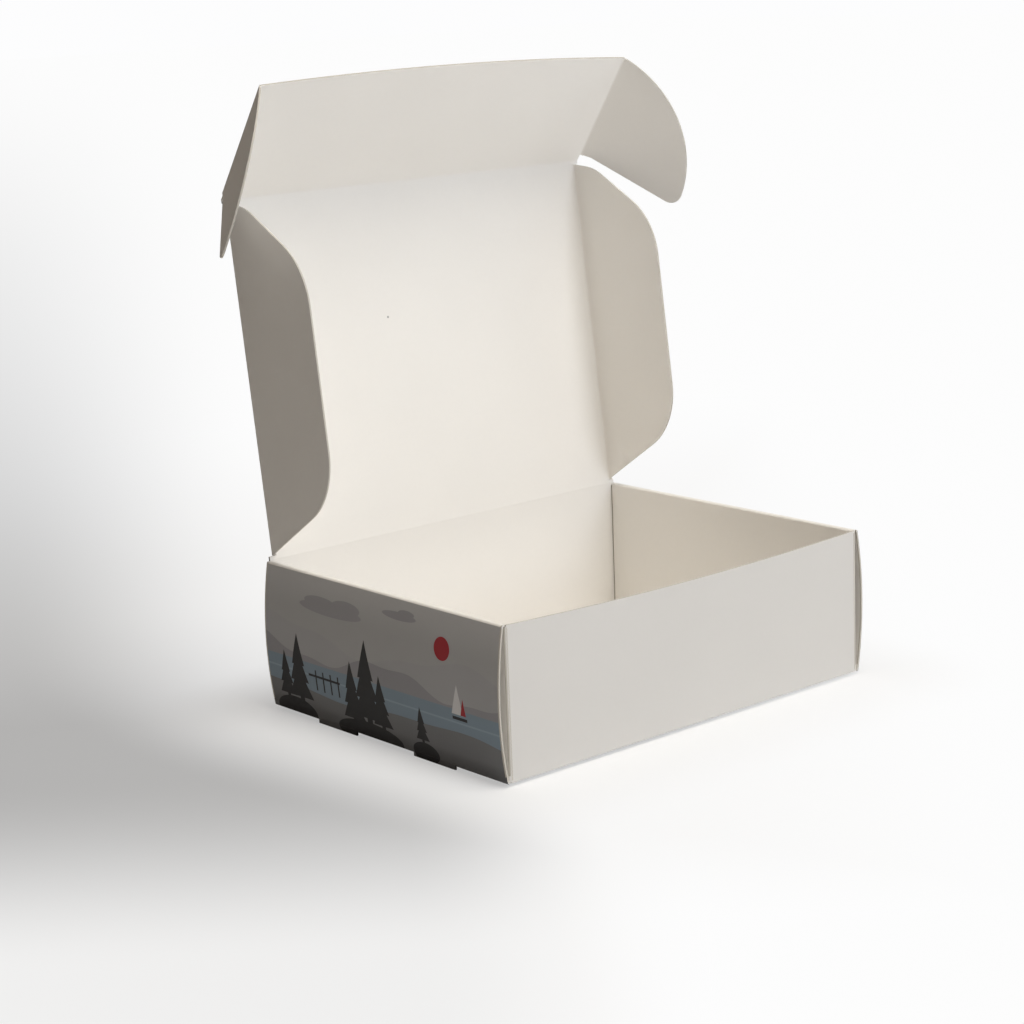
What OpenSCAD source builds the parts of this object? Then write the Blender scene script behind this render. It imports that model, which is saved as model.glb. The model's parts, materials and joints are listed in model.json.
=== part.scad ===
// Corrugated mailer box with roll-over side walls, shown with its lid open.
// Millimetres. X runs along the front wall, Y towards the back wall, Z up.
// The origin is the centre of the underside of the base.

/* [Box] */
// Width across the two side walls, at their creases
box_w = 320; // [240:1:420]
// Depth over the front and back walls
box_d = 240; // [210:1:320]
// Height of the rim above the underside of the base
wall_h = 100; // [80:1:140]
// Thickness of the board
board = 1.2; // [0.8:0.1:1.6]
// Inner radius of a fold
fold_inner_r = 0.3; // [0.2:0.05:0.6]

/* [Side walls] */
// Outward bow of an outer side wall at half its height
wall_bow = 4.5; // [0.5:0.5:6]
// Clearance on each face of an ear in the slit behind the outer side wall
ear_clear = 0.2; // [0.1:0.05:0.5]
// Share of the bow that an ear nests into
ear_nest = 0.18; // [0:0.02:0.2]
// Clearance between the layers of a side wall
layer_gap = 0.1; // [0.05:0.05:0.3]
// Gap from each end of an inner side wall to the front or back wall
inner_wall_gap = 1; // [0.3:0.1:2]
// Reach of the corner flaps that are caught between the layers
corner_flap = 86; // [60:1:95]
// Slant cut off the free corners of a corner flap
corner_flap_cut = 7; // [3:1:12]

/* [Locks] */
// Width of a locking tab at the foot of an inner side wall
tab_w = 40; // [25:1:48]
// Distance from a wall's end to its nearer locking tab
tab_inset = 50; // [35:1:55]
// Clearance of a locking tab in its slot
slot_clear = 0.5; // [0.3:0.1:0.8]
// Drop of the lip that each slot leaves under the outer side wall
lip_drop = 2; // [1:0.5:3]

/* [Front wall] */
// Drop of the rim of the front and corner pieces below the roll-over
rim_drop = 0.3; // [0.2:0.1:0.6]
// Dip of the front wall's top edge at its middle
front_dip = 3.5; // [1:0.5:6]

/* [Lid] */
// Opening of the lid, from 0 when closed
lid_open = 97; // [90:1:115]
// Clearance between the closed lid and the rim
lid_gap = 0.15; // [0.1:0.05:0.4]
// Gap between a rounded crease edge and the panel that it turns against
crease_gap = 0.1; // [0.05:0.05:0.2]
// Length of the full-width strips at the lid's two creases
lid_strip = 2.2; // [1.5:0.1:3]
// Gap from a full-width strip to the root of a side flap
strip_gap = 0.4; // [0.3:0.1:1]

/* [Side flaps] */
// Fold of the lid's side flaps, from 0 when flat
side_fold = 90; // [90:0.5:92]
// Height of a side flap's free edge above the base when the lid is closed
side_flap_rise = 21; // [12:1:40]
// Angle between a side flap's crease and its end at the lid's hinge
side_flap_slant = 63; // [58:1:75]
// Angle between a side flap's crease and the root of its front end
side_flap_root_slant = 79; // [70:1:85]
// Width of a side flap's front end up to its shoulder
side_flap_shoulder = 21; // [10:1:24]
// Angle between a side flap's crease and its front end beyond the shoulder
side_flap_front_slant = 54; // [52:1:64]
// Radius of the shoulder
side_flap_shoulder_r = 40; // [20:1:60]
// Radius of a side flap's free corners
side_flap_r = 50; // [20:1:54]
// Clearance between a side flap and the inner side wall
side_flap_clear = 0.2; // [0.1:0.05:0.5]

/* [Front flap] */
// Fold of the front flap, from 0 when flat
front_fold = 42; // [35:1:50]
// Clearance between the closed front flap and the front wall
front_flap_clear = 0.3; // [0.2:0.1:0.6]
// Height of the front flap's lowest point above the base's underside when closed
front_flap_rise = 4; // [0.5:0.5:8]
// Crown of the front flap's free edge
front_flap_crown = 5; // [2:0.5:8]

/* [Ears] */
// Fold of the left ear, from 0 when flat
ear_fold_left = 57; // [45:1:62]
// Fold of the right ear, from 0 when flat
ear_fold_right = 62; // [45:1:62]
// Distance of an ear's root from the lid's crease
ear_root = 6; // [5:0.5:7]
// Distance of an ear's upper edge from the lid's crease
ear_top = 8; // [7:0.5:12]
// Distance from the lid's crease to the centre of an ear's round outline
ear_centre = 10; // [8:1:20]
// Radius of the corner between an ear's upper edge and its round outline
ear_corner_r = 9; // [4:1:14]
// Width of the relief cut at the root of an ear's upper edge
ear_relief = 9; // [5:1:14]

/* [Hidden] */
$fn = 48;

half_w = box_w / 2;
half_d = box_d / 2;
half_board = board / 2;
fold_r = board + fold_inner_r;

// Layers of a side wall, from the outer wall inwards: ear slit, corner flap, inner wall
bow_room = ear_nest * wall_bow;
corner_x = half_w - board - (board + 2 * ear_clear) + bow_room;
inner_wall_x = corner_x - 2 * board - layer_gap;
layer_top = wall_h - board - layer_gap;
foot_z = board + layer_gap;
inner_half_d = half_d - board - layer_gap;
front_half_w = corner_x - fold_r;
front_top = wall_h - rim_drop;
base_join = 4;
over = 1;

// Hinge lines of the lid, in the middle of the board's thickness
lid_axis_y = half_d - half_board;
lid_axis_z = wall_h + lid_gap + half_board;
lid_l = box_d + front_flap_clear;
panel_end = half_board + crease_gap;
side_axis_x = inner_wall_x - side_flap_clear - half_board;
ear_axis_x = half_w - board - ear_clear - half_board + bow_room;

side_flap_w = lid_axis_z - board - side_flap_rise;
side_root_start = lid_strip + strip_gap;
side_root_end = lid_l - side_root_start;
front_flap_l = lid_axis_z - front_flap_rise - front_flap_crown;
front_flap_half_w = ear_axis_x - panel_end;
ear_r = front_flap_l - ear_centre;

white = [0.91, 0.9, 0.87];
shade = [0.84, 0.82, 0.78];
printed = [0.55, 0.58, 0.6];

// Points of an arc about c, from angle a0 to a1
function arc(c, r, a0, a1, n = 8) =
    [for (i = [0:n]) let (a = a0 + (a1 - a0) * i / n) c + r * [cos(a), sin(a)]];

// Points that round corner b, between a and c, with radius r
function rounded(a, b, c, r, n = 12) =
    let (
        u = (a - b) / norm(a - b),
        v = (c - b) / norm(c - b),
        half = acos(u * v) / 2,
        m = b + (u + v) / norm(u + v) * r / sin(half),
        p = b + u * r / tan(half),
        q = b + v * r / tan(half),
        a0 = atan2(p[1] - m[1], p[0] - m[0]),
        a1 = atan2(q[1] - m[1], q[0] - m[0]),
        turn = a1 - a0 > 180 ? a1 - a0 - 360 : a1 - a0 < -180 ? a1 - a0 + 360 : a1 - a0
    )
    arc(m, r, a0, a0 + turn, n);

function reversed(points) = [for (i = [len(points) - 1:-1:0]) points[i]];

// One face of the bowed outer side wall, set in by the given amount
function bowed_face(set_in, n = 14) =
    [for (i = [0:n]) let (k = 2 * i / n - 1)
        [half_w - set_in + wall_bow * (1 - k * k), fold_r + (wall_h - 2 * fold_r) * i / n]];

// Section of the base's edge, the outer wall, the roll-over and the inner wall
function roll_section() =
    let (
        foot = [half_w - fold_r, fold_r],
        outer_top = [half_w - fold_r, wall_h - fold_r],
        inner_top = [inner_wall_x + fold_r, wall_h - fold_r]
    )
    concat(
        [[half_w - fold_r - base_join, 0]],
        arc(foot, fold_r, -90, 0),
        bowed_face(0),
        arc(outer_top, fold_r, 0, 90),
        arc(inner_top, fold_r, 90, 180),
        [[inner_wall_x, foot_z], [inner_wall_x + board, foot_z]],
        arc(inner_top, fold_inner_r, 180, 90),
        arc(outer_top, fold_inner_r, 90, 0),
        reversed(bowed_face(board)),
        arc(foot, fold_inner_r, 0, -90),
        [[half_w - fold_r - base_join, board]]
    );

// Extrudes a section drawn in X and Z along Y
module along_y(length) {
    rotate([90, 0, 0])
        linear_extrude(height = length, center = true)
            children();
}

// Repeats its children on both sides of the box
module both_sides() {
    children();
    mirror([1, 0, 0])
        children();
}

// Repeats its children at the front and at the back of a side wall
module both_ends() {
    children();
    mirror([0, 1, 0])
        children();
}

// Space that leaves the ends of the inner wall clear of the front and back walls
module inner_wall_end() {
    bottom = foot_z - layer_gap / 2;
    end_y = half_d - board - inner_wall_gap;
    translate([inner_wall_x - over, end_y, bottom])
        cube([board + 2 * over, inner_wall_gap + over, wall_h - fold_r - bottom]);
}

module side_wall() {
    difference() {
        along_y(2 * inner_half_d)
            polygon(roll_section());
        both_ends()
            inner_wall_end();
    }
    along_y(box_d)
        intersection() {
            polygon(roll_section());
            translate([half_w - board, 0])
                square([board + wall_bow, wall_h]);
        }
}

// Space that one slot cuts out of the base and out of the crease beside it
module lock_slot() {
    length = tab_w + 2 * slot_clear;
    slot_in = inner_wall_x - slot_clear;
    translate([slot_in, half_d - tab_inset - tab_w - slot_clear, -board])
        cube([half_w + fold_r - slot_in, length, board + fold_r]);
}

// Locking tab on the inner wall, through its slot to the underside of the base
module lock_tab() {
    near = half_d - tab_inset - tab_w;
    far = half_d - tab_inset;
    top = foot_z + fold_r;
    taper = board;
    translate([inner_wall_x, 0, 0])
        rotate([90, 0, 90])
            linear_extrude(height = board)
                polygon([
                    [near, top],
                    [near, fold_r],
                    [near + taper, 0],
                    [far - taper, 0],
                    [far, fold_r],
                    [far, top]
                ]);
}

// Lip of the outer wall that stands down where the slot interrupts the crease
module lock_lip() {
    near = half_d - tab_inset - tab_w;
    translate([half_w - board, near - slot_clear, -lip_drop])
        cube([board, tab_w + 2 * slot_clear, lip_drop + fold_r]);
}

// Flap folded back from a front or back corner, behind the ear slit
module corner_flap() {
    fold = [corner_x - fold_r, half_d - fold_r];
    end_y = half_d - corner_flap;
    difference() {
        translate([0, 0, foot_z])
            linear_extrude(height = layer_top - foot_z)
                polygon(concat(
                    [[corner_x - fold_r - base_join, half_d]],
                    arc(fold, fold_r, 90, 0),
                    [[corner_x, end_y], [corner_x - board, end_y]],
                    arc(fold, fold_inner_r, 0, 90),
                    [[corner_x - fold_r - base_join, half_d - board]]
                ));
        for (end = [[foot_z, 1], [layer_top, -1]])
            translate([corner_x - 2 * board, end_y, end[0]])
                rotate([90, 0, 90])
                    linear_extrude(height = 3 * board)
                        polygon([
                            [-over, -end[1] * over],
                            [corner_flap_cut, -end[1] * over],
                            [corner_flap_cut, 0],
                            [0, end[1] * corner_flap_cut],
                            [-over, end[1] * corner_flap_cut]
                        ]);
    }
}

// Upright wall at the back, and the crease that joins it to the base
module end_wall(outline) {
    fold = [half_d - fold_r, fold_r];
    translate([-front_half_w, 0, 0])
        rotate([90, 0, 90])
            linear_extrude(height = 2 * front_half_w)
                polygon(concat(
                    [[fold[0] - base_join, 0]],
                    arc(fold, fold_r, -90, 0),
                    arc(fold, fold_inner_r, 0, -90),
                    [[fold[0] - base_join, board]]
                ));
    translate([0, half_d, 0])
        rotate([90, 0, 0])
            linear_extrude(height = board)
                polygon(outline);
}

module base() {
    translate([-(half_w - fold_r), -(half_d - fold_r), 0])
        cube([2 * (half_w - fold_r), 2 * (half_d - fold_r), board]);
}

module tray() {
    back_top = lid_axis_z - panel_end;
    edge = [[front_half_w, fold_r], [-front_half_w, fold_r]];
    dipped_edge = [for (i = [0:16]) let (k = i / 8 - 1)
        [k * front_half_w, front_top - front_dip * (1 - k * k)]];
    color(white) {
        difference() {
            union() {
                base();
                both_sides()
                    side_wall();
            }
            both_sides()
                both_ends()
                    lock_slot();
        }
        both_sides()
            both_ends() {
                lock_tab();
                lock_lip();
                corner_flap();
            }
        end_wall(concat(edge, [[-front_half_w, back_top], [front_half_w, back_top]]));
        mirror([0, 1, 0])
            end_wall(concat(edge, dipped_edge));
    }
}

// Frame of the lid: X along the hinge, Y towards the front crease, Z to the inner face
module at_lid() {
    translate([0, lid_axis_y, lid_axis_z])
        rotate([180 - lid_open, 0, 0])
            children();
}

// Frame of the front flap: Y towards its free edge, Z to its inner face
module at_front_flap() {
    at_lid()
        translate([0, lid_l, 0])
            rotate([front_fold, 0, 0])
                children();
}

// Extrudes an outline over the thickness of the board, about its middle
module panel(outline) {
    linear_extrude(height = board, center = true)
        polygon(outline);
}

// Rounded edge of a panel along its crease, in the direction of Y
module crease_along_y(start, end) {
    translate([0, end, 0])
        rotate([90, 0, 0])
            cylinder(r = half_board, h = end - start);
}

// Rounded edge of a panel along its crease, in the direction of X
module crease_along_x(half_length) {
    rotate([0, 90, 0])
        cylinder(r = half_board, h = 2 * half_length, center = true);
}

module lid() {
    wide = corner_x;
    narrow = side_axis_x - panel_end;
    front = lid_l - panel_end;
    outline = [
        [wide, 0],
        [wide, lid_strip],
        [narrow, lid_strip],
        [narrow, lid_l - lid_strip],
        [wide, lid_l - lid_strip],
        [wide, front]
    ];
    color(white)
        at_lid() {
            crease_along_x(wide);
            panel(concat(outline, [for (p = reversed(outline)) [-p[0], p[1]]]));
        }
}

// Large flap at the side of the lid, with slanted ends and round corners
module side_flap() {
    root_hinge = [0, side_root_start];
    root_front = [0, side_root_end];
    hinge_end = [side_flap_w, side_root_start + side_flap_w / tan(side_flap_slant)];
    shoulder = [side_flap_shoulder, side_root_end - side_flap_shoulder / tan(side_flap_root_slant)];
    front_run = (side_flap_w - side_flap_shoulder) / tan(side_flap_front_slant);
    front_end = [side_flap_w, shoulder[1] - front_run];
    translate([side_axis_x, 0, 0])
        rotate([0, -side_fold, 0]) {
            crease_along_y(side_root_start, side_root_end);
            panel(concat(
                [root_hinge],
                rounded(root_hinge, hinge_end, front_end, side_flap_r),
                rounded(hinge_end, front_end, shoulder, side_flap_r),
                rounded(front_end, shoulder, root_front, side_flap_shoulder_r, 6),
                [root_front]
            ));
        }
}

module side_flap_right() {
    color(shade)
        at_lid()
            side_flap();
}

module side_flap_left() {
    color(shade)
        at_lid()
            mirror([1, 0, 0])
                side_flap();
}

module front_flap() {
    w = front_flap_half_w;
    crowned_edge = [for (i = [0:20]) let (k = 1 - i / 10)
        [k * w, front_flap_l + front_flap_crown * (1 - k * k)]];
    color(white)
        at_front_flap() {
            crease_along_x(w);
            panel(concat([[-w, 0], [w, 0]], crowned_edge));
        }
}

// Round ear at the side of the front flap, which tucks into the side wall's slit
module ear(fold) {
    centre = [0, ear_centre];
    shoulder = [ear_relief, ear_top];
    tip_y = ear_top + ear_corner_r;
    tip_x = sqrt(pow(ear_r - ear_corner_r, 2) - pow(tip_y - ear_centre, 2));
    tip = [tip_x, tip_y];
    touch = atan2(tip_y - ear_centre, tip_x);
    translate([ear_axis_x, 0, 0])
        rotate([0, -fold, 0]) {
            crease_along_y(ear_root, front_flap_l);
            panel(concat(
                [[0, ear_root], shoulder],
                arc(tip, ear_corner_r, -90, touch),
                arc(centre, ear_r, touch, 90, 24)
            ));
        }
}

module ear_right() {
    color(shade)
        at_front_flap()
            ear(ear_fold_right);
}

module ear_left() {
    color(shade)
        at_front_flap()
            mirror([1, 0, 0])
                ear(ear_fold_left);
}

tray();
lid();
front_flap();
ear_left();
ear_right();
side_flap_left();
side_flap_right();
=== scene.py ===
"""Looks for a corrugated mailer box that stands with its lid open.

The panels come from the frame and get a white-lined board finish here, with a plain printed
design on the outer side walls, the lid and the front flap. Soft creases are added at the folds
that move, and the stage holds the floor, the lamps and the camera.
"""
import json
import math
from collections import namedtuple

import bpy
from mathutils import Matrix, Vector


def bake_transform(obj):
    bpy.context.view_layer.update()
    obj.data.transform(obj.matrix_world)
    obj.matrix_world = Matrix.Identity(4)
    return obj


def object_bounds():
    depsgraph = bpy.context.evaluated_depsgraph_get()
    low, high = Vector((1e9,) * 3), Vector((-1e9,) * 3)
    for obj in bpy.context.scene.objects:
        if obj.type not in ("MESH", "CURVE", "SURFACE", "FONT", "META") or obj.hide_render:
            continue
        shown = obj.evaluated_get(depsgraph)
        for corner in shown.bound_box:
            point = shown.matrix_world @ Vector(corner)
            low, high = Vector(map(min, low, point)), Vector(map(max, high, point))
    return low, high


bl_info = {
    "name": "Mailer box",
    "version": (1, 0, 0),
    "blender": (4, 5, 0),
    "location": "View3D > Sidebar > Mailer box",
    "description": "Finishes a folded mailer box in white-lined board and sets its stage",
    "category": "Object",
}

MM = 0.001

# Sizes and places in this block are in millimetres

# The tray: its outer faces from its middle, the bow of the outer side walls, the height of the bow's middle
# and half the height that it takes up, the inner side walls' middle plane, the height at which the board
# starts to roll over, the fold at the walls' feet, and how deep a face's outer skin is taken to be
TRAY_SIDE = 160.0
TRAY_END = 120.0
WALL_BOW = 4.5
WALL_MIDDLE = 50.0
WALL_HALF = 48.5
INNER_WALL = 156.1
RIM = 98.2
FOOT = 1.5
SKIN_DEPTH = 0.25

# The landscape on the side walls. Places run along the wall from its front end and up from the base.
# An ellipse has its middle and two radii, a skyline its height, swell, pitch and shift, a box its ends
# along and up, and a sail the place of its middle, its foot, its point and half its width.
HAZE_HEIGHT = 88.0
HAZE_DEPTH = 30.0
SUN = (54.0, 76.0, 7.5, 7.5)
CLOUDS = (
    (168.0, 79.5, 33.0, 4.2),
    (152.0, 83.5, 15.0, 4.6),
    (179.0, 83.0, 17.0, 3.8),
    (97.0, 88.5, 17.0, 2.6),
    (90.0, 91.0, 8.0, 2.2),
)
FAR_HILLS = (61.0, 7.0, 31.0, 12.0)
NEAR_HILLS = (48.0, 6.0, 23.0, 70.0)
WATER_LINE = 40.0
RIPPLE = (31.0, 32.2)
BANK = (22.0, 3.0, 37.0, 5.0)
BANK_FOOT = 9.0
MOUNDS = (
    (134.0, 2.0, 34.0, 9.0),
    (213.0, 2.0, 22.0, 10.0),
    (77.0, 3.0, 13.0, 7.0),
)
JETTY_DECK = (160.0, 194.0, 31.0, 32.6)
JETTY_POSTS = (162.0, 170.0, 178.0, 186.0)
POST_FOOT = 22.0
POST_TOP = 36.0
POST_HALF = 0.7
HULL = (31.0, 45.0, 33.5, 35.5)
MAIN_SAIL = (40.0, 37.0, 56.0, 5.5)
FORE_SAIL = (34.5, 37.0, 48.0, 2.6)

# Each printed fir's place along the wall, the foot of its trunk and its height
FIRS = (
    (132, 5, 62),
    (148, 4, 46),
    (118, 6, 40),
    (205, 6, 52),
    (220, 8, 36),
    (78, 8, 26),
)

# The lid's print, up from its crease: where the blue band starts, the red line, and the ring's middle
# and two radii
LID_BAND = 168.0
LID_LINE = (158.0, 161.0)
RING_MIDDLE = 84.0
RING_OUTER = 52.0
RING_INNER = 40.0

# The front flap's print: one red panel's ends across and along the flap, and its two lines
FLAP_PANEL = (7.0, 126.0, 26.0, 74.0)
FLAP_LINES = ((15.0, 17.6), (82.4, 85.0))
FLAP_LINE_END = 138.0

# Half the width and the length that the print covers on the lid and on the front flap
LID_FIELD = (151.5, 238.5)
FLAP_FIELD = (156.0, 110.0)

# Speck on the lid's inner face: its place across and along the lid, and its radius
SPECK = (-34.2, 148.0, 0.8)

# A wave of the flutes at a cut edge, and how far it swings
FLUTE_PITCH = 2.4
FLUTE_SWING = 0.22

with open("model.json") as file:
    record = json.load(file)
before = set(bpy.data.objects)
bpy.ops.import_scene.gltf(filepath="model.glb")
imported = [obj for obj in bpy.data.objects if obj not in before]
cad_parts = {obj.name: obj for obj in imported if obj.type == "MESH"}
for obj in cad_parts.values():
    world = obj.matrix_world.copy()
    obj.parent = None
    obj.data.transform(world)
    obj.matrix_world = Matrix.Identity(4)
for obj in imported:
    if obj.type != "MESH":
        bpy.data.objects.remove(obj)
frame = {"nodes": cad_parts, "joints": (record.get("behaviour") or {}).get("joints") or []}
cad_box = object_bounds()
joints = {joint["name"]: joint for joint in frame["joints"]}

X_AXIS = Vector((1, 0, 0))
lid_hinge = Vector(joints["lid_crease"]["pos_m"])
lid_front = Vector(joints["front_flap_crease"]["pos_m"])
lid_along = (lid_front - lid_hinge).normalized()
lid_inner = X_AXIS.cross(lid_along)
flap_along = Vector(joints["right_ear_crease"]["axis"]).normalized()
flap_inner = X_AXIS.cross(flap_along)
ear_x = joints["right_ear_crease"]["pos_m"][0]
side_x = joints["right_side_flap_crease"]["pos_m"][0]
SIDES = {"left": -1, "right": 1}
ear_fold = {
    "left": math.radians(joints["left_ear_crease"]["range_deg"][1]),
    "right": math.radians(joints["right_ear_crease"]["range_deg"][1]),
}


# Settings


class MailerBoardSettings(bpy.types.PropertyGroup):
    """Sizes and colours of the bare board."""

    liner: bpy.props.FloatVectorProperty(
        name="Liner",
        description="Colour of the white liner on the inside of the box",
        subtype="COLOR",
        size=3,
        min=0,
        max=1,
        default=(0.87, 0.843, 0.80),
    )
    # The outside colour is the liner darkened, as painted shade on the box's outer faces
    outside: bpy.props.FloatVectorProperty(
        name="Outside",
        description="Colour of the unprinted liner on the outside of the box",
        subtype="COLOR",
        size=3,
        min=0,
        max=1,
        default=(0.665, 0.642, 0.609),
    )
    cut_edge: bpy.props.FloatVectorProperty(
        name="Cut edge",
        description="Colour of the board where it is cut",
        subtype="COLOR",
        size=3,
        min=0,
        max=1,
        default=(0.60, 0.56, 0.49),
    )
    thickness: bpy.props.FloatProperty(
        name="Thickness",
        description="Thickness of the board",
        unit="LENGTH",
        default=1.2 * MM,
        min=0.5 * MM,
        max=3 * MM,
    )
    fibre: bpy.props.FloatProperty(
        name="Fibre",
        description="Depth of the paper's fine grain",
        subtype="FACTOR",
        default=0.12,
        min=0,
        max=1,
    )
    roughness: bpy.props.FloatProperty(
        name="Roughness",
        description="Roughness of the liner",
        subtype="FACTOR",
        default=0.62,
        min=0,
        max=1,
    )


class MailerPrintSettings(bpy.types.PropertyGroup):
    """Colours of the printed design."""

    pale: bpy.props.FloatVectorProperty(
        name="Pale field", description="Pale grey ground of the print", subtype="COLOR",
        size=3, min=0, max=1, default=(0.60, 0.59, 0.565),
    )
    sky: bpy.props.FloatVectorProperty(
        name="Sky", description="Grey of the printed sky", subtype="COLOR",
        size=3, min=0, max=1, default=(0.435, 0.43, 0.43),
    )
    grey: bpy.props.FloatVectorProperty(
        name="Grey", description="Grey of the printed hills", subtype="COLOR",
        size=3, min=0, max=1, default=(0.25, 0.247, 0.26),
    )
    ground: bpy.props.FloatVectorProperty(
        name="Ground", description="Dark grey of the printed ground", subtype="COLOR",
        size=3, min=0, max=1, default=(0.155, 0.157, 0.163),
    )
    blue: bpy.props.FloatVectorProperty(
        name="Blue", description="Grey blue of the printed water", subtype="COLOR",
        size=3, min=0, max=1, default=(0.19, 0.245, 0.295),
    )
    pale_blue: bpy.props.FloatVectorProperty(
        name="Pale blue", description="Pale blue band on the lid", subtype="COLOR",
        size=3, min=0, max=1, default=(0.50, 0.68, 0.77),
    )
    ink: bpy.props.FloatVectorProperty(
        name="Ink", description="Near black of the printed lines and posts", subtype="COLOR",
        size=3, min=0, max=1, default=(0.018, 0.018, 0.02),
    )
    red: bpy.props.FloatVectorProperty(
        name="Red", description="Dark red of the printed panels", subtype="COLOR",
        size=3, min=0, max=1, default=(0.30, 0.014, 0.022),
    )


class MailerCreaseSettings(bpy.types.PropertyGroup):
    """Sizes of the soft creases."""

    skin: bpy.props.FloatProperty(
        name="Skin", description="How far a crease's liner stands proud of the panels",
        unit="LENGTH", default=0.04 * MM, min=0.01 * MM, max=0.3 * MM,
    )
    bend: bpy.props.FloatProperty(
        name="Bend", description="Half the width over which a crease bends",
        unit="LENGTH", default=1.2 * MM, min=0.5 * MM, max=4 * MM,
    )
    hinge_radius: bpy.props.FloatProperty(
        name="Lid radius", description="Radius in the hollow of the lid's crease",
        unit="LENGTH", default=6 * MM, min=0.5 * MM, max=12 * MM,
    )
    front_radius: bpy.props.FloatProperty(
        name="Front radius", description="Radius in the hollow of the front flap's crease",
        unit="LENGTH", default=2 * MM, min=0.5 * MM, max=6 * MM,
    )
    side_radius: bpy.props.FloatProperty(
        name="Side radius", description="Radius in the hollow of the side flaps' creases",
        unit="LENGTH", default=1.6 * MM, min=0.5 * MM, max=6 * MM,
    )
    ear_radius: bpy.props.FloatProperty(
        name="Ear radius", description="Radius in the hollow of the ears' creases",
        unit="LENGTH", default=1.6 * MM, min=0.5 * MM, max=6 * MM,
    )


class MailerStageSettings(bpy.types.PropertyGroup):
    """The camera, the lamps and the floor."""

    camera_place: bpy.props.FloatVectorProperty(
        name="Camera place", description="Where the camera stands",
        subtype="TRANSLATION", unit="LENGTH", size=3, default=(-1.0586, -1.1815, 0.4875),
    )
    yaw: bpy.props.FloatProperty(
        name="Yaw", description="Turn of the camera from the back wall towards the right",
        subtype="ANGLE", default=0.7089,
    )
    pitch: bpy.props.FloatProperty(
        name="Pitch", description="How far the camera looks down",
        subtype="ANGLE", default=0.2250,
    )
    roll: bpy.props.FloatProperty(
        name="Roll", description="Roll of the camera about its view", subtype="ANGLE", default=-0.0386,
    )
    lens: bpy.props.FloatProperty(
        name="Lens", description="Focal length of the camera in millimetres",
        default=85.2, min=20, max=300,
    )
    key_power: bpy.props.FloatProperty(
        name="Key power", description="Power of the large lamp in front",
        subtype="POWER", default=39.7, min=0,
    )
    side_power: bpy.props.FloatProperty(
        name="Side power", description="Power of the weaker lamp at the right",
        subtype="POWER", default=7.2, min=0,
    )
    above_power: bpy.props.FloatProperty(
        name="Above power", description="Power of the lamp overhead",
        subtype="POWER", default=46.3, min=0,
    )
    back_power: bpy.props.FloatProperty(
        name="Back power", description="Power of the weak lamp behind the box",
        subtype="POWER", default=14, min=0,
    )
    even: bpy.props.FloatVectorProperty(
        name="Even light", description="Light that comes from all round", subtype="COLOR",
        size=3, min=0, max=1, default=(0.107, 0.085, 0.066),
    )
    backdrop: bpy.props.FloatVectorProperty(
        name="Backdrop", description="Colour of the backdrop as the camera sees it", subtype="COLOR",
        size=3, min=0, max=1, default=(0.98, 0.98, 0.985),
    )
    floor: bpy.props.FloatVectorProperty(
        name="Floor", description="Colour of the floor", subtype="COLOR",
        size=3, min=0, max=1, default=(0.86, 0.86, 0.86),
    )
    white: bpy.props.FloatVectorProperty(
        name="White", description="The floor's own glow where it is plain", subtype="COLOR",
        size=3, min=0, max=1, default=(0.98, 0.98, 0.98),
    )
    # The floor's glow takes this grey where its painted shadow is deepest, at the left
    shade: bpy.props.FloatVectorProperty(
        name="Shade", description="The floor's own glow where it is darkest, at the left", subtype="COLOR",
        size=3, min=0, max=1, default=(0.40, 0.40, 0.403),
    )
    glow: bpy.props.FloatProperty(
        name="Glow", description="Share of the floor's own glow around the box",
        subtype="FACTOR", default=0.8, min=0, max=1,
    )
    contact: bpy.props.FloatProperty(
        name="Contact", description="Share of the glow that is taken away close to the box",
        subtype="FACTOR", default=0.35, min=0, max=1,
    )


# Material nodes


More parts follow.
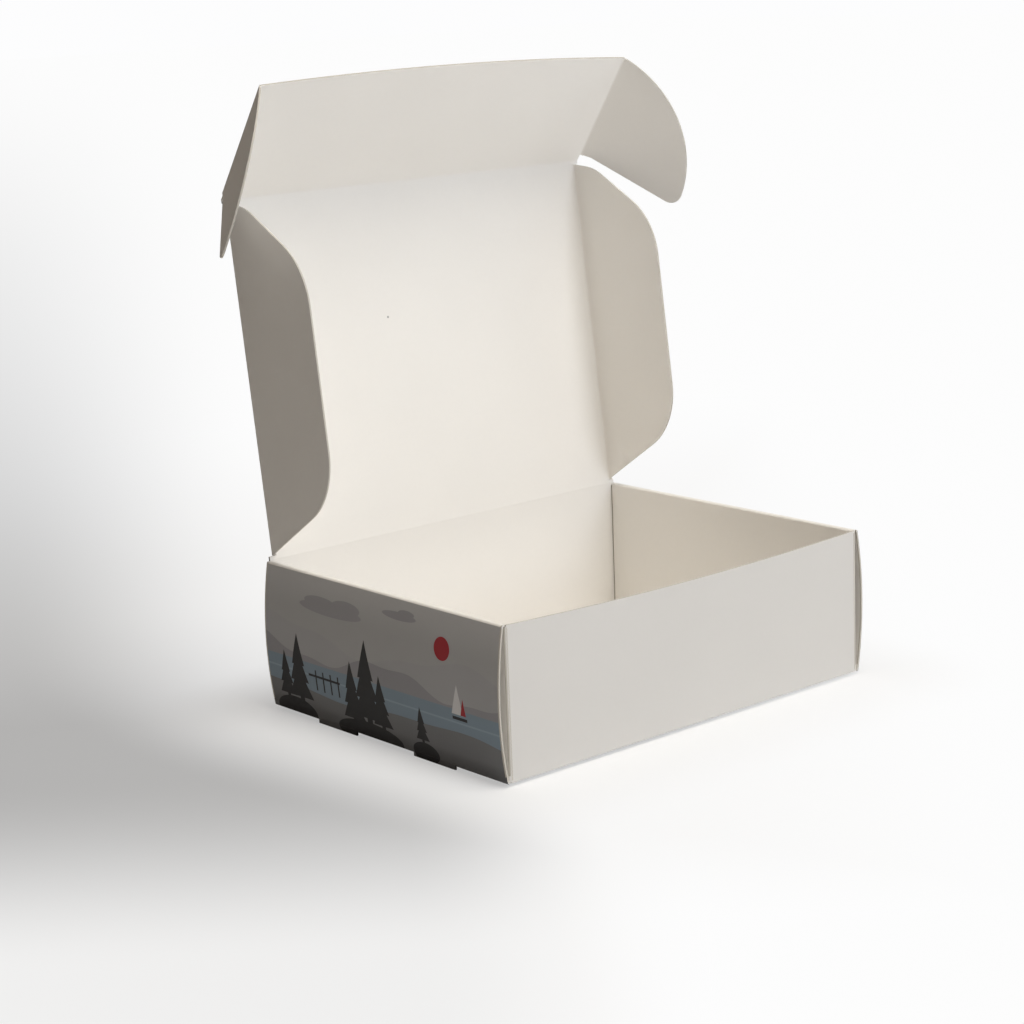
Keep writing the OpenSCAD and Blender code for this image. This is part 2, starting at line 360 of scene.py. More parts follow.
class Maker:
    """Adds shader nodes to one material and returns their output sockets."""

    def __init__(self, material):
        self.tree = material.node_tree
        self.count = 0

    def node(self, kind):
        made = self.tree.nodes.new(kind)
        made.location = (-1800 + 180 * (self.count % 9), 600 - 180 * (self.count // 9))
        self.count += 1
        return made

    def put(self, socket, value):
        if isinstance(value, bpy.types.NodeSocket):
            self.tree.links.new(value, socket)
        else:
            socket.default_value = value

    def math(self, operation, a, b=0.0, clamp=False):
        made = self.node("ShaderNodeMath")
        made.operation = operation
        made.use_clamp = clamp
        self.put(made.inputs[0], a)
        self.put(made.inputs[1], b)
        return made.outputs[0]

    def add(self, a, b):
        return self.math("ADD", a, b)

    def minus(self, a, b, clamp=False):
        return self.math("SUBTRACT", a, b, clamp)

    def times(self, a, b, clamp=False):
        return self.math("MULTIPLY", a, b, clamp)

    def over(self, a, b):
        return self.math("DIVIDE", a, b)

    def absolute(self, a):
        return self.math("ABSOLUTE", a)

    def dot(self, a, b):
        made = self.node("ShaderNodeVectorMath")
        made.operation = "DOT_PRODUCT"
        self.put(made.inputs[0], a)
        self.put(made.inputs[1], tuple(b))
        return made.outputs["Value"]

    def above(self, value, edge, soft):
        """1 where value is over edge, 0 below, over a width of soft."""
        made = self.node("ShaderNodeMapRange")
        made.interpolation_type = "SMOOTHSTEP"
        self.put(made.inputs["Value"], self.minus(value, edge))
        made.inputs["From Min"].default_value = -soft / 2
        made.inputs["From Max"].default_value = soft / 2
        return made.outputs["Result"]

    def below(self, value, edge, soft):
        """1 where value is under edge, 0 above, over a width of soft."""
        return self.above(edge, value, soft)

    def both(self, a, b):
        return self.times(a, b)

    def either(self, a, b):
        return self.math("MAXIMUM", a, b)

    def any_of(self, shapes):
        """The union of several shapes."""
        union = shapes[0]
        for shape in shapes[1:]:
            union = self.either(union, shape)
        return union

    def band(self, value, low, high, soft):
        return self.minus(self.above(value, low, soft), self.above(value, high, soft), True)

    def box(self, u, v, u0, u1, v0, v1, soft=0.15):
        return self.both(self.band(u, u0, u1, soft), self.band(v, v0, v1, soft))

    def ellipse(self, u, v, cu, cv, ru, rv, soft=0.03):
        du = self.over(self.minus(u, cu), ru)
        dv = self.over(self.minus(v, cv), rv)
        r = self.math("SQRT", self.add(self.times(du, du), self.times(dv, dv)))
        return self.minus(1.0, self.above(r, 1.0, soft), True)

    def mix(self, factor, a, b):
        made = self.node("ShaderNodeMix")
        made.data_type = "RGBA"
        sockets = {socket.identifier: socket for socket in made.inputs}
        self.put(sockets["Factor_Float"], factor)
        self.put(sockets["A_Color"], a)
        self.put(sockets["B_Color"], b)
        return made.outputs[2]

    def noise(self, vector, scale, detail=3.0, roughness=0.5):
        made = self.node("ShaderNodeTexNoise")
        self.put(made.inputs["Vector"], vector)
        made.inputs["Scale"].default_value = scale
        made.inputs["Detail"].default_value = detail
        made.inputs["Roughness"].default_value = roughness
        return made.outputs["Fac"]


def rgba(colour):
    return (colour[0], colour[1], colour[2], 1.0)


def blend_of(a, b, share):
    """A colour between a and b, with the given share of a."""
    return rgba([share * c + (1 - share) * d for c, d in zip(a, b)])


def shade_of(colour, factor):
    """A colour made darker or lighter."""
    return rgba([c * factor for c in colour])


def new_material(name):
    material = bpy.data.materials.new(name)
    material.use_nodes = True
    material.node_tree.nodes.clear()
    return material, Maker(material)


def place(m):
    """Object coordinates in millimetres."""
    made = m.node("ShaderNodeTexCoord")
    scaled = m.node("ShaderNodeVectorMath")
    scaled.operation = "SCALE"
    m.tree.links.new(made.outputs["Object"], scaled.inputs[0])
    scaled.inputs["Scale"].default_value = 1 / MM
    return scaled.outputs[0]


def offset_along(m, at, origin, direction):
    """Distance of a place from a point, measured along a direction, in millimetres."""
    return m.minus(m.dot(at, direction), Vector(direction).dot(Vector(origin)) / MM)


def liner(m, at, colour):
    """A liner's colour, slightly uneven as paper is."""
    cloudy = m.noise(at, 0.012, 2.0)
    fine = m.noise(at, 0.35, 4.0, 0.6)
    shade = m.add(m.times(cloudy, 0.7), m.times(fine, 0.3))
    return m.mix(shade, shade_of(colour, 0.955), shade_of(colour, 1.03))


def finish(m, material, at, colour, board):
    """Joins a colour to the board's surface: matte liner with a fine paper grain."""
    surface = m.node("ShaderNodeBsdfPrincipled")
    output = m.node("ShaderNodeOutputMaterial")
    bump = m.node("ShaderNodeBump")
    grain = m.add(m.times(m.noise(at, 0.9, 4.0, 0.65), 0.6), m.times(m.noise(at, 0.06, 2.0), 1.2))
    m.put(bump.inputs["Height"], grain)
    bump.inputs["Strength"].default_value = board.fibre
    bump.inputs["Distance"].default_value = 0.25 * MM
    m.put(surface.inputs["Base Color"], colour)
    surface.inputs["Roughness"].default_value = board.roughness
    surface.inputs["Specular IOR Level"].default_value = 0.28
    m.put(surface.inputs["Normal"], bump.outputs["Normal"])
    m.tree.links.new(surface.outputs[0], output.inputs["Surface"])
    return material


def cut_edge(m, across, along, board):
    """Colour of a cut edge: two liners with the flutes between them, and painted shade in the flutes'
    hollows.
    """
    turn = m.times(along, 2 * math.pi / FLUTE_PITCH)
    wave = m.times(m.math("SINE", turn), FLUTE_SWING)
    near = m.absolute(m.minus(across, wave))
    core = m.band(near, -1.0, 0.16, 0.1)
    # Away from the wavy flute the edge is darker, as painted shade in the hollows between the flute and the
    # liners
    return m.mix(core, shade_of(board.cut_edge, 0.80), rgba(board.cut_edge))


def wedge(m, u, v, centre, base, top, half):
    """An upright triangle with its point over the middle of its base."""
    edge = m.times(m.minus(top, v), half / (top - base))
    side = m.absolute(m.minus(u, centre))
    return m.both(m.above(edge, side, 0.2), m.above(v, base, 0.2))


def fir(m, u, v, centre, foot, height):
    """A fir as three stacked triangles on a short trunk."""
    trunk = 0.045 * height
    parts = [m.box(u, v, centre - trunk, centre + trunk, foot, foot + 0.3 * height)]
    for low, high, half in ((0.14, 0.58, 0.25), (0.36, 0.80, 0.19), (0.58, 1.0, 0.13)):
        parts.append(wedge(m, u, v, centre, foot + low * height, foot + high * height, half * height))
    return m.any_of(parts)


def ridge(m, u, height, swell, pitch, shift):
    """Height of a rounded skyline at u."""
    slow = m.math("SINE", m.over(m.add(u, shift), pitch))
    quick = m.math("SINE", m.over(m.minus(u, shift), pitch * 0.37))
    swells = m.add(m.times(slow, swell), m.times(quick, swell * 0.3))
    return m.add(swells, height)


def lake_print(m, u, v, inks):
    """Landscape of plain fields: clouds, a red disc, hills, a lake with a boat and a jetty, and firs."""
    colour = m.mix(m.above(v, HAZE_HEIGHT, HAZE_DEPTH), shade_of(inks.sky, 0.80), rgba(inks.sky))
    cloud = m.any_of([m.ellipse(u, v, *part, 0.05) for part in CLOUDS])
    colour = m.mix(cloud, colour, blend_of(inks.grey, inks.sky, 0.85))
    colour = m.mix(m.ellipse(u, v, *SUN), colour, rgba(inks.red))
    colour = m.mix(m.above(ridge(m, u, *FAR_HILLS), v, 0.3), colour, blend_of(inks.grey, inks.sky, 0.55))
    colour = m.mix(m.above(ridge(m, u, *NEAR_HILLS), v, 0.3), colour, rgba(inks.grey))
    colour = m.mix(m.below(v, WATER_LINE, 0.3), colour, rgba(inks.blue))
    colour = m.mix(m.band(v, *RIPPLE, 0.2), colour, shade_of(inks.blue, 1.25))
    colour = m.mix(m.above(ridge(m, u, *BANK), v, 0.3), colour, rgba(inks.ground))
    colour = m.mix(m.below(v, BANK_FOOT, 6.0), colour, shade_of(inks.ground, 0.8))
    colour = m.mix(wedge(m, u, v, *MAIN_SAIL), colour, shade_of(inks.sky, 1.3))
    colour = m.mix(wedge(m, u, v, *FORE_SAIL), colour, rgba(inks.red))
    dark = [m.ellipse(u, v, *mound, 0.02) for mound in MOUNDS]
    dark += [fir(m, u, v, *tree) for tree in FIRS]
    dark += [m.box(u, v, post - POST_HALF, post + POST_HALF, POST_FOOT, POST_TOP) for post in JETTY_POSTS]
    dark += [m.box(u, v, *JETTY_DECK), m.box(u, v, *HULL)]
    return m.mix(m.any_of(dark), colour, rgba(inks.ink))


def lid_print(m, u, v, inks):
    """Pale field with a ring, and a pale blue band and a thin line near the lid's front edge."""
    colour = m.mix(m.above(v, LID_BAND, 0.2), rgba(inks.pale), rgba(inks.pale_blue))
    colour = m.mix(m.band(v, *LID_LINE, 0.2), colour, rgba(inks.red))
    for radius, ink in ((RING_OUTER, inks.grey), (RING_INNER, inks.pale)):
        colour = m.mix(m.ellipse(u, v, 0.0, RING_MIDDLE, radius, radius, 0.006), colour, rgba(ink))
    return colour


def front_print(m, u, v, inks):
    """Two dark red panels side by side between dark lines on a pale field."""
    side = m.absolute(u)
    colour = m.mix(m.box(side, v, *FLAP_PANEL), rgba(inks.pale), rgba(inks.red))
    lines = m.any_of([m.box(side, v, -1.0, FLAP_LINE_END, *line) for line in FLAP_LINES])
    return m.mix(lines, colour, rgba(inks.ink))


def panel_material(name, origin, along, inner, board, printed=None, inks=None, field=None, speck=None):
    """Board finish for one flat panel: liner, cut edges, and a print on its outer face if it has one."""
    material, m = new_material(name)
    at = place(m)
    across = offset_along(m, at, origin, inner)
    v = offset_along(m, at, origin, along)
    u = m.dot(at, X_AXIS) if printed else m.dot(at, along.cross(inner).normalized())
    half = board.thickness / 2 / MM
    outer = m.minus(1.0, m.above(across, -half * 0.85, 0.1), True)
    # Outer faces take the outside colour, darkened as painted shade
    colour = m.mix(outer, liner(m, at, board.liner), liner(m, at, board.outside))
    if printed:
        width, length = field
        inside = m.both(m.band(m.absolute(u), -1.0, width, 0.2), m.band(v, 2.0, length, 0.2))
        colour = m.mix(m.both(outer, inside), colour, printed(m, u, v, inks))
    if speck:
        spot_u, spot_v, radius = speck
        spot = m.both(m.ellipse(u, v, spot_u, spot_v, radius, radius, 0.6), m.above(across, 0.0, 0.1))
        colour = m.mix(spot, colour, shade_of(board.liner, 0.45))
    edge = m.band(m.absolute(across), -1.0, half * 0.85, 0.08)
    colour = m.mix(edge, colour, cut_edge(m, across, m.add(u, v), board))
    return finish(m, material, at, colour, board)


def ear_way(side):
    """The way an ear lies from its fold, and the normal of its inner face."""
    across = X_AXIS * SIDES[side]
    fold = ear_fold[side]
    outward = across * math.cos(fold) + flap_inner * math.sin(fold)
    inner = flap_inner * math.cos(fold) - across * math.sin(fold)
    return outward, inner


def paint(node, material):
    """Gives a panel of the frame its finish."""
    thing = frame["nodes"][node]
    thing.data.materials.clear()
    thing.data.materials.append(material)


# Pieces


class MAILER_OT_tray(bpy.types.Operator):
    """Finish the tray, with the print on both outer side walls"""

    bl_idname = "mailer.tray"
    bl_label = "Tray"

    def execute(self, context):
        board = context.scene.mailer_board
        inks = context.scene.mailer_print
        material, m = new_material("tray_board")
        at = place(m)
        x, y, z = (m.dot(at, axis) for axis in ((1, 0, 0), (0, 1, 0), (0, 0, 1)))
        side = m.absolute(x)
        ends = m.absolute(y)
        half = board.thickness / 2 / MM
        height = m.over(m.minus(z, WALL_MIDDLE), WALL_HALF)
        bow = m.times(m.minus(1.0, m.times(height, height)), WALL_BOW)
        depth = m.minus(m.minus(side, TRAY_SIDE), bow)
        colour = liner(m, at, board.liner)
        skin = m.either(m.above(ends, TRAY_END - SKIN_DEPTH, 0.1), m.below(z, SKIN_DEPTH, 0.1))
        # The end walls' outer faces and the base's underside take the outside colour, darkened as painted
        # shade
        colour = m.mix(skin, colour, liner(m, at, board.outside))
        wall = m.both(m.above(depth, -SKIN_DEPTH, 0.1), m.band(z, FOOT - 0.1, RIM + 0.7, 0.5))
        outer = m.either(wall, self.foot_fold(m, side, z))
        colour = m.mix(outer, colour, lake_print(m, m.add(y, TRAY_END), z, inks))
        cut = m.band(z, 2.0, RIM, 0.3)
        walls = (
            (m.add(depth, half), z, cut),
            (m.minus(side, INNER_WALL), z, cut),
            (m.minus(ends, TRAY_END - half), x, m.above(z, 5.0, 0.3)),
        )
        for across, along, where in walls:
            edge = m.both(m.band(m.absolute(across), -1.0, 0.5, 0.08), where)
            colour = m.mix(edge, colour, cut_edge(m, across, along, board))
        paint("tray", finish(m, material, at, colour, board))
        return {"FINISHED"}

    def foot_fold(self, m, side, z):
        """The outer skin of the fold at a side wall's foot and of the lips below it."""
        foot = m.node("ShaderNodeCombineXYZ")
        m.put(foot.inputs["X"], m.minus(side, TRAY_SIDE - FOOT))
        m.put(foot.inputs["Y"], m.minus(z, FOOT))
        reach = m.node("ShaderNodeVectorMath")
        reach.operation = "LENGTH"
        m.put(reach.inputs[0], foot.outputs[0])
        low = m.both(m.above(side, TRAY_SIDE - 1.3, 0.3), m.below(z, FOOT + 0.1, 0.2))
        return m.both(m.above(reach.outputs["Value"], FOOT - SKIN_DEPTH, 0.1), low)


class MAILER_OT_lid(bpy.types.Operator):
    """Finish the lid, with the print on its outer face"""

    bl_idname = "mailer.lid"
    bl_label = "Lid"

    def execute(self, context):
        board = context.scene.mailer_board
        inks = context.scene.mailer_print
        paint("lid", panel_material(
            "lid_board", lid_hinge, lid_along, lid_inner, board, lid_print, inks, LID_FIELD, SPECK))
        return {"FINISHED"}


class MAILER_OT_front_flap(bpy.types.Operator):
    """Finish the front flap, with the print on its outer face"""

    bl_idname = "mailer.front_flap"
    bl_label = "Front flap"

    def execute(self, context):
        board = context.scene.mailer_board
        inks = context.scene.mailer_print
        paint("front_flap", panel_material(
            "front_flap_board", lid_front, flap_along, flap_inner, board, front_print, inks, FLAP_FIELD))
        return {"FINISHED"}


class MAILER_OT_ears(bpy.types.Operator):
    """Finish the two round ears of the front flap"""

    bl_idname = "mailer.ears"
    bl_label = "Ears"

    def execute(self, context):
        board = context.scene.mailer_board
        for side, sign in SIDES.items():
            outward, inner = ear_way(side)
            origin = lid_front + X_AXIS * sign * ear_x
            paint("ear_" + side, panel_material("ear_board_" + side, origin, outward, inner, board))
        return {"FINISHED"}


class MAILER_OT_side_flaps(bpy.types.Operator):
    """Finish the two large side flaps of the lid"""

    bl_idname = "mailer.side_flaps"
    bl_label = "Side flaps"

    def execute(self, context):
        board = context.scene.mailer_board
        for side, sign in SIDES.items():
            origin = lid_hinge + X_AXIS * sign * side_x
            paint("side_flap_" + side, panel_material(
                "side_flap_board_" + side, origin, lid_inner, -X_AXIS * sign, board))
        return {"FINISHED"}


# Creases


# How far a crease's section runs on past its rounding, on the hollow side and on the other, and how near
# to a fold a panel's corner counts as its end, in metres
RUN_ON = 1.2 * MM
OUTER_REACH = 1.8 * MM
NEAR_FOLD = 1.2 * MM

# A crease's edges that are sharper than this are not smoothed, in degrees
SHARP = 40

# Name of the attribute that is 1 on a crease's outer side
OUTER = "outer"

# A fold that moves: its bodies, its place, the way each panel lies from it, its axis, its radius, and
# whether its hollow side is on the outside of the box
Fold = namedtuple("Fold", "name body_a body_b hinge to_a to_b along radius hollow_outside")


def moving_folds(crease):
    """The six folds that move, each as a Fold."""
    folds = [
        Fold("crease_lid", "tray", "lid", lid_hinge, Vector((0, 0, -1)), lid_along,
             X_AXIS, crease.hinge_radius, True),
        Fold("crease_front", "lid", "front_flap", lid_front, -lid_along, flap_along,
             X_AXIS, crease.front_radius, False),
    ]
    for side, sign in SIDES.items():
        inward = -X_AXIS * sign
        folds.append(Fold("crease_side_" + side, "lid", "side_flap_" + side, lid_hinge - inward * side_x,
                          inward, lid_inner, lid_along, crease.side_radius, False))
        folds.append(Fold("crease_ear_" + side, "front_flap", "ear_" + side, lid_front - inward * ear_x,
                          inward, ear_way(side)[0], flap_along, crease.ear_radius, False))
    return folds


def crease_material(board):
    """White liner on a fold's inner side, and the outside liner, darkened as painted shade, where the mesh
    says outer.
    """
    material, m = new_material("crease_liner")
    at = place(m)
    outer = m.node("ShaderNodeAttribute")
    outer.attribute_name = OUTER
    colour = m.mix(outer.outputs["Fac"], liner(m, at, board.liner), liner(m, at, board.outside))
    return finish(m, material, at, colour, board)


def crease_tree(material):
    """Geometry Nodes tree that sweeps a crease's section along its fold."""
    tree = bpy.data.node_groups.new("Crease liner", "GeometryNodeTree")
    face = tree.interface
    face.new_socket("Geometry", in_out="INPUT", socket_type="NodeSocketGeometry")
    along = face.new_socket("Along", in_out="INPUT", socket_type="NodeSocketVector")
    face.new_socket("Geometry", in_out="OUTPUT", socket_type="NodeSocketGeometry")
    nodes, links = tree.nodes, tree.links
    start = nodes.new("NodeGroupInput")
    end = nodes.new("NodeGroupOutput")
    extrude = nodes.new("GeometryNodeExtrudeMesh")
    extrude.mode = "FACES"
    extrude.inputs["Individual"].default_value = False
    extrude.inputs["Offset Scale"].default_value = 1.0
    flip = nodes.new("GeometryNodeFlipFaces")
    join = nodes.new("GeometryNodeJoinGeometry")
    merge = nodes.new("GeometryNodeMergeByDistance")
    merge.inputs["Distance"].default_value = 0.001 * MM
    realize = nodes.new("GeometryNodeRealizeInstances")
    paint_node = nodes.new("GeometryNodeSetMaterial")
    paint_node.inputs["Material"].default_value = material
    links.new(start.outputs[0], extrude.inputs["Mesh"])
    links.new(start.outputs[1], extrude.inputs["Offset"])
    links.new(start.outputs[0], flip.inputs["Mesh"])
    links.new(extrude.outputs["Mesh"], join.inputs[0])
    links.new(flip.outputs["Mesh"], join.inputs[0])
    links.new(join.outputs[0], merge.inputs["Geometry"])
    links.new(merge.outputs[0], realize.inputs[0])
    links.new(realize.outputs[0], paint_node.inputs["Geometry"])
    links.new(paint_node.outputs[0], end.inputs[0])
    return tree, along.identifier


def crease_ends(names, origin, along):
    """Stretch of a fold that all the named nodes cover, as distances from origin."""
    low, high = -math.inf, math.inf
    for name in names:
        thing = frame["nodes"][name]
        spots = [thing.matrix_world @ vertex.co - origin for vertex in thing.data.vertices]
        reach = [spot.dot(along) for spot in spots if (spot - along * spot.dot(along)).length < NEAR_FOLD]
        low, high = max(low, min(reach)), min(high, max(reach))
    return low, high


def turned(x, y, angle):
    """A point of the section turned about the fold's axis."""
    return Vector((x * math.cos(angle) - y * math.sin(angle), x * math.sin(angle) + y * math.cos(angle)))


def arc(centre, radius, start, end, steps=8):
    angles = [start + (end - start) * i / steps for i in range(steps + 1)]
    return [centre + Vector((radius * math.cos(a), radius * math.sin(a))) for a in angles]


def crease_section(angle, half, skin, radius):
    """The two sides of the closed section round a fold, as points.

    Panel a lies along +x, and panel b at an angle to it under 180 degrees. The hollow side of the fold is
    rounded with the radius, and the other side is round about the axis. The section's ends sink into the
    panels, so that no step shows.
    """
    proud = half + skin
    sunk = half - skin
    middle = angle / 2
    hollow = (proud + radius) / math.tan(middle)
    reach = hollow + RUN_ON
    hollow_side = [turned(reach, sunk, 0)]
    centre = turned((proud + radius) / math.sin(middle), 0, middle)
    hollow_side += arc(centre, radius, -math.pi / 2, angle - 1.5 * math.pi)
    hollow_side.append(turned(reach, -sunk, angle))
    round_side = [turned(OUTER_REACH, sunk, angle)]
    round_side += arc(Vector((0, 0)), proud, angle + math.pi / 2, 1.5 * math.pi)
    round_side.append(turned(OUTER_REACH, -sunk, 0))
    return hollow_side, round_side


class MAILER_OT_creases(bpy.types.Operator):
    """Add the soft liner that bends over each fold that moves"""

    bl_idname = "mailer.creases"
    bl_label = "Creases"

    def execute(self, context):
        board = context.scene.mailer_board
        crease = context.scene.mailer_crease
        half = board.thickness / 2
        tree, along_id = crease_tree(crease_material(board))
        for fold in moving_folds(crease):
            name, body_a, body_b, hinge, to_a, to_b = fold[:6]
            along = fold.along if fold.along.dot(to_a.cross(to_b)) > 0 else -fold.along
            low, high = crease_ends((body_a, body_b), hinge, along)
            up = along.cross(to_a)
            hollow_side, round_side = crease_section(to_a.angle(to_b), half, crease.skin, fold.radius)
            sides = [fold.hollow_outside] * len(hollow_side) + [not fold.hollow_outside] * len(round_side)
            points = [hinge + along * low + to_a * p.x + up * p.y for p in hollow_side + round_side]
            mesh = bpy.data.meshes.new(name)
            mesh.from_pydata(points, [], [tuple(reversed(range(len(points))))])
            mesh.attributes.new(OUTER, "FLOAT", "POINT").data.foreach_set("value", sides)
            thing = bpy.data.objects.new(name, mesh)
            context.scene.collection.objects.link(thing)
            sweep = thing.modifiers.new("Crease liner", "NODES")
            sweep.node_group = tree
            sweep[along_id] = tuple(along * (high - low))
            graph = context.evaluated_depsgraph_get()
            made = bpy.data.meshes.new_from_object(thing.evaluated_get(graph))
            thing.modifiers.clear()
            thing.data = made
            made.name = name
            made.shade_smooth()
            made.set_sharp_from_angle(angle=math.radians(SHARP))
            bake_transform(thing)
        return {"FINISHED"}


# Stage


# Each lamp's name, its place, the point it shines at and its size, in metres, and its colour
LAMPS = (
    ("key", (0.45, -3.0, 1.25), (0, 0, 0.2), 1.5, (0.846, 0.907, 1.0)),
    ("side", (2.0, -1.5, 1.1), (0, 0, 0.1), 1.6, (0.904, 0.975, 1.0)),
    ("above", (0.1, -0.7, 2.6), (0, 0, 0.1), 1.4, (1.0, 0.962, 0.886)),
    ("back", (1.9, 2.2, 1.3), (0, 0, 0.2), 1.5, (1.0, 1.0, 1.0)),
)

# Half the floor's side, in metres
FLOOR_HALF = 12.0

# The floor's painted shadow as the camera sees it: a grey in its glow that stands in for a broad cast
# shadow at the left. drop is 1000 over the distance ahead in millimetres, so it grows down the picture, and
# aside is the place across the picture, so it grows to the left. An edge has its middle and its width. The
# painted shadow deepens down the picture along a curve, from a fainter start at the horizon, and fades
# again close to the camera. Its right edge moves to the right further down.
CLIMB_RATE = 1.55
CLIMB_CURVE = 1.9
HORIZON_EDGE = (0.15, 0.20)
HORIZON_SHARE = 0.12
NEAR_EDGE = (0.785, 0.18)
NEAR_SHARE = 0.86
SPREAD_START = 0.575
SPREAD_RATE = 5.0
RIGHT_EDGE = (0.178, 0.13)
LAST_RIGHT_EDGE = (0.03, 0.10)
LEFT_EDGE = (0.40, 0.28)

# Edges in millimetres: how near to the camera the painted shadow ends, how far from the box and how far to
# the right the floor is all glow, and how far from the box its contact shadow reaches
CAMERA_EDGE = (850.0, 500.0)
FAR_EDGE = (500.0, 800.0)
RIGHT_SIDE_EDGE = (-150.0, 250.0)
CONTACT_EDGE = (45.0, 110.0)

# Edges in aside and drop of the stretch at the lower right of the picture that is all glow as well
LOW_RIGHT_EDGE = (-0.01, 0.08)
LOW_EDGE = (0.80, 0.10)


def floor_painted_shadow(m, drop, aside, depth):
    """Painted shadow at the left of the floor, between 0 and 1: a grey in the floor's glow that stands in
    for a cast shadow.
    """
    climb = m.math("POWER", m.times(drop, CLIMB_RATE, True), CLIMB_CURVE)
    start = m.times(m.above(drop, *HORIZON_EDGE), HORIZON_SHARE)
    rise = m.add(m.times(climb, 1 - HORIZON_SHARE), start)
    fall = m.minus(1.0, m.times(m.above(drop, *NEAR_EDGE), NEAR_SHARE), True)
    past = m.math("MAXIMUM", m.minus(drop, SPREAD_START), 0.0)
    spread = m.times(m.times(past, past), SPREAD_RATE)
    grey = m.both(rise, fall)
    limits = (
        m.above(m.add(aside, spread), *RIGHT_EDGE),
        m.above(aside, *LAST_RIGHT_EDGE),
        m.below(aside, *LEFT_EDGE),
        m.above(depth, *CAMERA_EDGE),
    )
    for limit in limits:
        grey = m.both(grey, limit)
    return grey


def from_box(m, at):
    """Distance of a place on the floor from the tray's outline, in millimetres."""
    gaps = []
    for axis, half in (((1, 0, 0), TRAY_SIDE), ((0, 1, 0), TRAY_END)):
        gap = m.math("MAXIMUM", m.minus(m.absolute(m.dot(at, axis)), half), 0.0)
        gaps.append(m.times(gap, gap))
    return m.math("SQRT", m.add(*gaps))


def floor_glow(m, at, left, drop, aside, stage):
    """How much of the floor is its own even glow: less by the box, where its contact shadow falls."""
    distance = from_box(m, at)
    clear = m.any_of([
        m.above(distance, *FAR_EDGE),
        m.below(left, *RIGHT_SIDE_EDGE),
        m.both(m.below(aside, *LOW_RIGHT_EDGE), m.above(drop, *LOW_EDGE)),
    ])
    close = m.times(m.below(distance, *CONTACT_EDGE), stage.contact)
    open_floor = m.add(m.times(clear, 1 - stage.glow), stage.glow)
    return m.minus(open_floor, close)


def floor_material(stage):
    """White paper that glows a little as the camera sees it, and fades at the left to a grey that is
    painted shadow.
    """
    material, m = new_material("floor_paper")
    at = place(m)
    look = Vector((math.sin(stage.yaw), math.cos(stage.yaw), 0))
    depth = offset_along(m, at, stage.camera_place, look)
    left = m.dot(at, (-look.y, look.x, 0))
    drop = m.over(1000.0, m.math("MAXIMUM", depth, 200.0))
    aside = m.times(m.times(left, 0.001), drop)
    ground = m.node("ShaderNodeBsdfDiffuse")
    ground.inputs["Color"].default_value = rgba(stage.floor)
    glow = m.node("ShaderNodeEmission")
    # grey is how deep the painted shadow lies in the floor's glow at each place
    grey = floor_painted_shadow(m, drop, aside, depth)
    m.put(glow.inputs["Color"], m.mix(grey, rgba(stage.white), rgba(stage.shade)))
    seen = m.node("ShaderNodeLightPath")
    mixed = m.node("ShaderNodeMixShader")
    output = m.node("ShaderNodeOutputMaterial")
    share = floor_glow(m, at, left, drop, aside, stage)
    m.put(mixed.inputs[0], m.both(share, seen.outputs["Is Camera Ray"]))
    m.tree.links.new(ground.outputs[0], mixed.inputs[1])
    m.tree.links.new(glow.outputs[0], mixed.inputs[2])
    m.tree.links.new(mixed.outputs[0], output.inputs["Surface"])
    return material


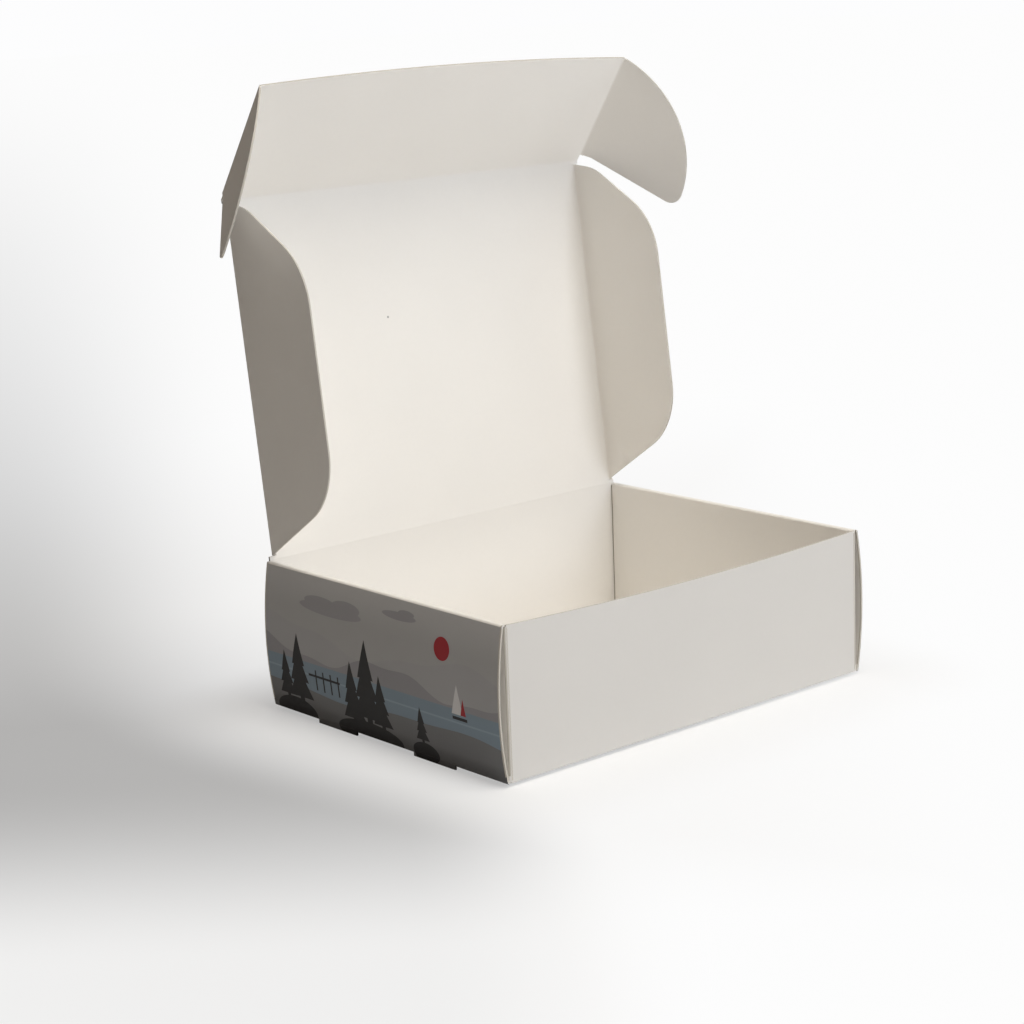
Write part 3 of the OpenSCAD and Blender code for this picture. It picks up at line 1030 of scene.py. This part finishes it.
class MAILER_OT_stage(bpy.types.Operator):
    """Set the floor, the lamps, the even light and the camera"""

    bl_idname = "mailer.stage"
    bl_label = "Stage"

    def execute(self, context):
        stage = context.scene.mailer_stage
        self.floor(context, stage)
        self.lamps(context, stage)
        self.even_light(context, stage)
        self.camera(context, stage)
        context.scene.view_settings.view_transform = "Standard"
        return {"FINISHED"}

    def floor(self, context, stage):
        low = cad_box[0][2]
        mesh = bpy.data.meshes.new("floor")
        corners = ((-1, -1), (1, -1), (1, 1), (-1, 1))
        mesh.from_pydata([(x * FLOOR_HALF, y * FLOOR_HALF, low) for x, y in corners], [], [(0, 1, 2, 3)])
        floor = bpy.data.objects.new("floor", mesh)
        context.scene.collection.objects.link(floor)
        floor.data.materials.append(floor_material(stage))

    def lamp(self, context, name, power, place_at, target, size, colour):
        data = bpy.data.lights.new(name, "AREA")
        data.shape = "DISK"
        data.size = size
        data.energy = power
        data.color = colour
        thing = bpy.data.objects.new(name, data)
        thing.location = place_at
        thing.rotation_mode = "QUATERNION"
        thing.rotation_quaternion = (Vector(target) - Vector(place_at)).to_track_quat("-Z", "Y")
        context.scene.collection.objects.link(thing)

    def lamps(self, context, stage):
        powers = (stage.key_power, stage.side_power, stage.above_power, stage.back_power)
        for (name, *rest), power in zip(LAMPS, powers):
            self.lamp(context, name, power, *rest)

    def even_light(self, context, stage):
        """Even light from all round, behind a backdrop that only the camera sees as white."""
        world = bpy.data.worlds.new("studio")
        world.use_nodes = True
        nodes, links = world.node_tree.nodes, world.node_tree.links
        nodes.clear()
        seen = nodes.new("ShaderNodeLightPath")
        even = nodes.new("ShaderNodeBackground")
        even.inputs["Color"].default_value = rgba(stage.even)
        white = nodes.new("ShaderNodeBackground")
        white.inputs["Color"].default_value = rgba(stage.backdrop)
        white.inputs["Strength"].default_value = 1.0
        mixed = nodes.new("ShaderNodeMixShader")
        output = nodes.new("ShaderNodeOutputWorld")
        links.new(seen.outputs["Is Camera Ray"], mixed.inputs[0])
        links.new(even.outputs[0], mixed.inputs[1])
        links.new(white.outputs[0], mixed.inputs[2])
        links.new(mixed.outputs[0], output.inputs["Surface"])
        context.scene.world = world

    def camera(self, context, stage):
        ahead = Vector((
            math.sin(stage.yaw) * math.cos(stage.pitch),
            math.cos(stage.yaw) * math.cos(stage.pitch),
            -math.sin(stage.pitch),
        ))
        right = Vector((math.cos(stage.yaw), -math.sin(stage.yaw), 0))
        up = right.cross(ahead)
        c, s = math.cos(stage.roll), math.sin(stage.roll)
        right, up = right * c + up * s, up * c - right * s
        data = bpy.data.cameras.new("camera")
        data.lens = stage.lens
        data.sensor_width = 36
        data.clip_start = 0.05
        data.clip_end = 60
        camera = bpy.data.objects.new("camera", data)
        turn = Matrix((right, up, -ahead)).transposed()
        camera.matrix_world = Matrix.Translation(stage.camera_place) @ turn.to_4x4()
        context.scene.collection.objects.link(camera)
        context.scene.camera = camera


# Panel


class MAILER_PT_panel(bpy.types.Panel):
    """Lists the box's settings and pieces"""

    bl_label = "Mailer box"
    bl_idname = "MAILER_PT_panel"
    bl_space_type = "VIEW_3D"
    bl_region_type = "UI"
    bl_category = "Mailer box"

    def draw(self, context):
        layout = self.layout
        for title, name in SETTINGS:
            group = getattr(context.scene, name)
            box = layout.box()
            box.label(text=title)
            for key in type(group).__annotations__:
                box.prop(group, key)
        for piece in PIECES:
            layout.operator(piece.bl_idname)


SETTINGS = (
    ("Board", "mailer_board"),
    ("Print", "mailer_print"),
    ("Creases", "mailer_crease"),
    ("Stage", "mailer_stage"),
)
GROUPS = (
    ("mailer_board", MailerBoardSettings),
    ("mailer_print", MailerPrintSettings),
    ("mailer_crease", MailerCreaseSettings),
    ("mailer_stage", MailerStageSettings),
)
PIECES = (
    MAILER_OT_tray,
    MAILER_OT_lid,
    MAILER_OT_front_flap,
    MAILER_OT_ears,
    MAILER_OT_side_flaps,
    MAILER_OT_creases,
    MAILER_OT_stage,
)


def register():
    for name, group in GROUPS:
        bpy.utils.register_class(group)
        setattr(bpy.types.Scene, name, bpy.props.PointerProperty(type=group))
    for piece in PIECES:
        bpy.utils.register_class(piece)
    bpy.utils.register_class(MAILER_PT_panel)


def unregister():
    bpy.utils.unregister_class(MAILER_PT_panel)
    for piece in reversed(PIECES):
        bpy.utils.unregister_class(piece)
    for name, group in reversed(GROUPS):
        delattr(bpy.types.Scene, name)
        bpy.utils.unregister_class(group)


def main():
    register()
    bpy.ops.mailer.tray()
    bpy.ops.mailer.lid()
    bpy.ops.mailer.front_flap()
    bpy.ops.mailer.ears()
    bpy.ops.mailer.side_flaps()
    bpy.ops.mailer.creases()
    bpy.ops.mailer.stage()


if __name__ == "__main__":
    main()
